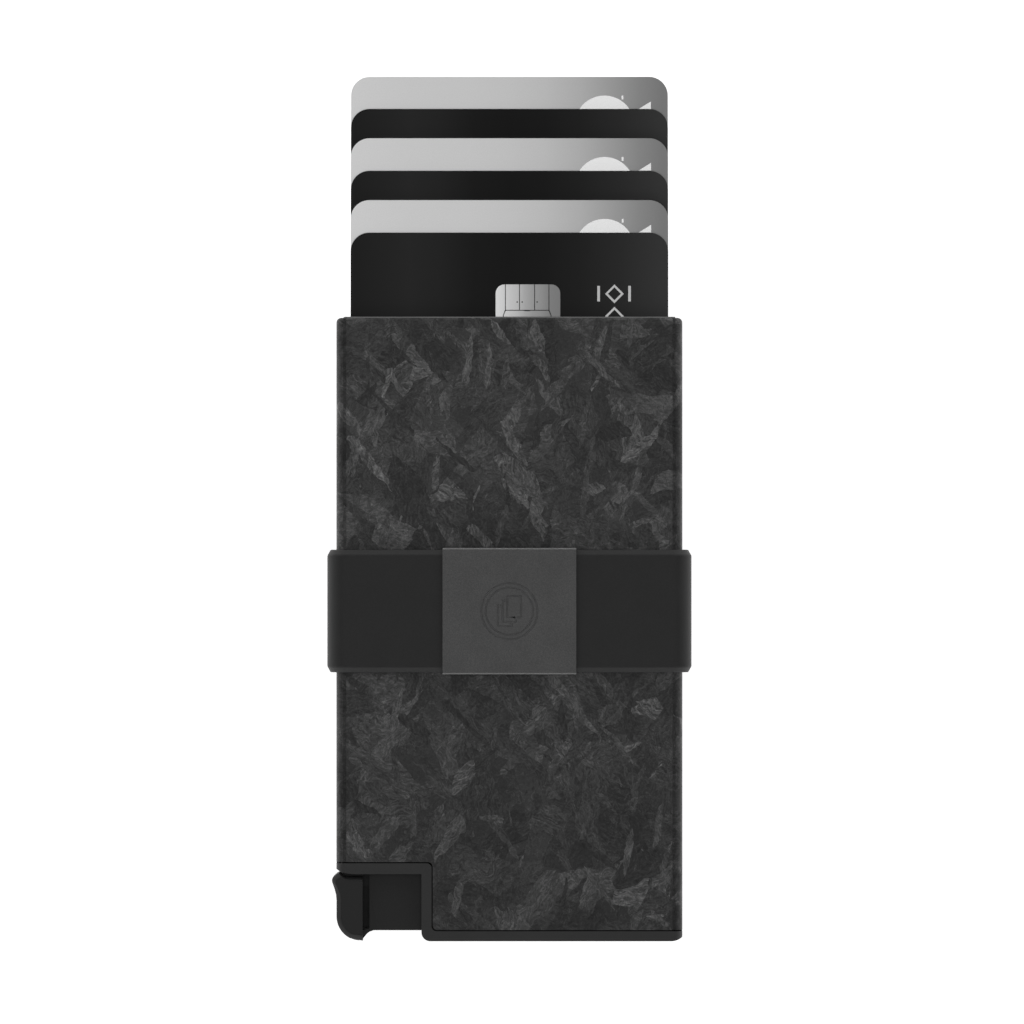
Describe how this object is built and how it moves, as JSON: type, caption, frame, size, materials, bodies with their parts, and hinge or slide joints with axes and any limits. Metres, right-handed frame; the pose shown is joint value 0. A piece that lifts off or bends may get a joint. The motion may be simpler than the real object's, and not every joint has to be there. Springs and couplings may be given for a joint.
{
  "type": "minimalist wallet",
  "caption": "Card-ejecting wallet: carbon sleeve with liner and end cap, side trigger that fans the cards out, sliding elastic strap with a metal plate.",
  "frame": {"origin": "centre of the strap's back face, which the wallet lies on", "axes": "+X right as seen from the front, +Y the way the cards come out of the mouth, +Z out of the front face"},
  "size_m": [0.062, 0.1471, 0.0117],
  "materials": {
    "forged_carbon": "satin",
    "anodised_liner": "matte",
    "cap_plastic": "matte",
    "steel": "polished",
    "felt": "matte",
    "trigger_plastic": "matte",
    "arm_plastic": "matte",
    "strap_rubber": "matte",
    "plate_steel": "bead blasted",
    "card_black": "satin",
    "card_silver": "brushed",
    "chip_metal": "satin"
  },
  "bodies": {
    "sleeve": {"carbon_shell": "forged_carbon", "aluminium_liner": "anodised_liner", "end_cap": "cap_plastic", "pivot_pin": "steel", "return_spring": "steel", "felt_strip_left": "felt", "felt_strip_right": "felt"},
    "trigger": {"trigger_lever": "trigger_plastic", "ejector_arm": "arm_plastic", "lever_rivet_inner": "steel", "lever_rivet_outer": "steel"},
    "strap": {"elastic_strap": "strap_rubber", "strap_plate": "plate_steel"},
    "card_1": {"card_1": "card_black", "chip_1": "chip_metal"},
    "card_2": {"card_2": "card_silver", "chip_2": "chip_metal"},
    "card_3": {"card_3": "card_black", "chip_3": "chip_metal"},
    "card_4": {"card_4": "card_silver", "chip_4": "chip_metal"},
    "card_5": {"card_5": "card_black", "chip_5": "chip_metal"},
    "card_6": {"card_6": "card_silver", "chip_6": "chip_metal"}
  },
  "joints": [
    {"name": "trigger_press", "type": "hinge", "parent": "sleeve", "child": "trigger", "pos_m": [-0.0246, -0.0438, 0.00565], "axis": [0, 0, 1], "range_deg": [0, 52], "stiffness_Nm_per_rad": 0.05, "springref_deg": -17.19, "deforming": ["return_spring"]},
    {"name": "card_1_slide", "type": "slide", "parent": "sleeve", "child": "card_1", "axis": [0, 1, 0], "range_m": [-0.0144, 0.0723]},
    {"name": "card_2_slide", "type": "slide", "parent": "sleeve", "child": "card_2", "axis": [0, 1, 0], "range_m": [-0.01996, 0.06674]},
    {"name": "card_3_slide", "type": "slide", "parent": "sleeve", "child": "card_3", "axis": [0, 1, 0], "range_m": [-0.02497, 0.06173]},
    {"name": "card_4_slide", "type": "slide", "parent": "sleeve", "child": "card_4", "axis": [0, 1, 0], "range_m": [-0.03055, 0.05615]},
    {"name": "card_5_slide", "type": "slide", "parent": "sleeve", "child": "card_5", "axis": [0, 1, 0], "range_m": [-0.03557, 0.05113]},
    {"name": "card_6_slide", "type": "slide", "parent": "sleeve", "child": "card_6", "axis": [0, 1, 0], "range_m": [-0.04108, 0.04562]},
    {"name": "strap_slide", "type": "slide", "parent": "sleeve", "child": "strap", "axis": [0, 1, 0], "range_m": [-0.032, 0.038]}
  ]
}
